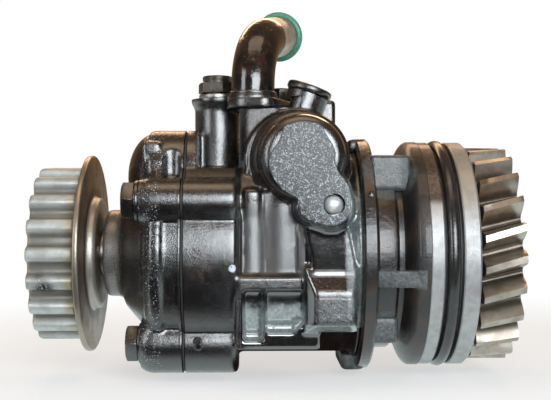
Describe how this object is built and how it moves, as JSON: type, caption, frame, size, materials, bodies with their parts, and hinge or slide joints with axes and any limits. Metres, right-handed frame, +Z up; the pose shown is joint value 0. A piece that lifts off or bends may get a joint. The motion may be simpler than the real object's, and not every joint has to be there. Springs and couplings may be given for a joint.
{
  "type": "power steering pump",
  "caption": "Vane pump for power steering, with a helical drive gear at one end, a toothed coupling at the other, a bent suction pipe and a pressure port on top.",
  "frame": {"origin": "on the shaft axis, in the face of the mounting flange that seats on the engine", "axes": "+X along the shaft towards the drive gear, +Z up towards the ports, +Y away from the valve boss"},
  "size_m": [0.1684, 0.087, 0.1348],
  "materials": {
    "black_paint": "glossy black paint over a cast surface",
    "cast_metal": "turned and cast metal, part painted over",
    "bright_steel": "ground steel",
    "dark_steel": "dulled steel",
    "alloy": "satin silver-grey",
    "bronze": "plain",
    "black_rubber": "smooth",
    "green_rubber": "smooth",
    "fibre": "pressed fibre sheet"
  },
  "bodies": {
    "pump_casing": {"pump_housing": "black_paint", "front_cover": "black_paint", "suction_elbow": "black_paint", "elbow_flange_plate": "black_paint", "drive_end_carrier": "cast_metal", "front_pressure_plate": "cast_metal", "rear_pressure_plate": "cast_metal", "bearing_outer_ring": "bright_steel", "cam_ring": "bright_steel", "locating_pin_1": "bright_steel", "locating_pin_2": "bright_steel", "valve_spring": "bright_steel", "passage_ball_plug": "bright_steel", "cover_bolt_1": "dark_steel", "cover_bolt_2": "dark_steel", "cover_bolt_3": "dark_steel", "cover_bolt_4": "dark_steel", "cover_washer_1": "dark_steel", "cover_washer_2": "dark_steel", "cover_washer_3": "dark_steel", "cover_washer_4": "dark_steel", "bearing_circlip": "dark_steel", "pressure_port_plug": "dark_steel", "side_screw_plug": "dark_steel", "valve_end_plug": "dark_steel", "elbow_bolt": "dark_steel", "pressure_port_washer": "alloy", "shaft_bush": "bronze", "spigot_o_ring": "black_rubber", "front_shaft_seal": "black_rubber", "rear_shaft_seal": "black_rubber", "valve_plug_o_ring": "black_rubber", "elbow_base_o_ring": "black_rubber", "suction_o_ring": "green_rubber", "cover_gasket": "fibre"},
    "shaft_line": {"drive_shaft": "bright_steel", "gear_key": "bright_steel", "drive_gear": "bright_steel", "gear_washer": "dark_steel", "gear_nut": "dark_steel", "coupling_hub": "alloy", "coupling_disc": "dark_steel", "coupling_nut": "dark_steel", "bearing_inner_ring": "bright_steel", "pump_rotor": "bright_steel", "vane_1": "bright_steel", "vane_2": "bright_steel", "vane_3": "bright_steel", "vane_4": "bright_steel", "vane_5": "bright_steel", "vane_6": "bright_steel", "vane_7": "bright_steel", "vane_8": "bright_steel", "vane_9": "bright_steel", "vane_10": "bright_steel"},
    "bearing_balls": {"bearing_cage": "bronze"},
    "flow_valve": {"valve_spool": "bright_steel"}
  },
  "joints": [
    {"name": "shaft_spin", "type": "hinge", "parent": "pump_casing", "child": "shaft_line", "pos_m": [0, 0, 0], "axis": [1, 0, 0], "continuous": true},
    {"name": "ball_cage_spin", "type": "hinge", "parent": "pump_casing", "child": "bearing_balls", "pos_m": [0.0218, 0, 0], "axis": [1, 0, 0], "continuous": true},
    {"name": "valve_slide", "type": "slide", "parent": "pump_casing", "child": "flow_valve", "axis": [0, 1, 0], "range_m": [0, 0.008], "stiffness_N_per_m": 3000, "springref_m": -0.004, "deforming": ["valve_spring"]}
  ],
  "couplings": [
    {"joint": "ball_cage_spin", "follows": "shaft_spin", "ratio": 0.3987}
  ]
}
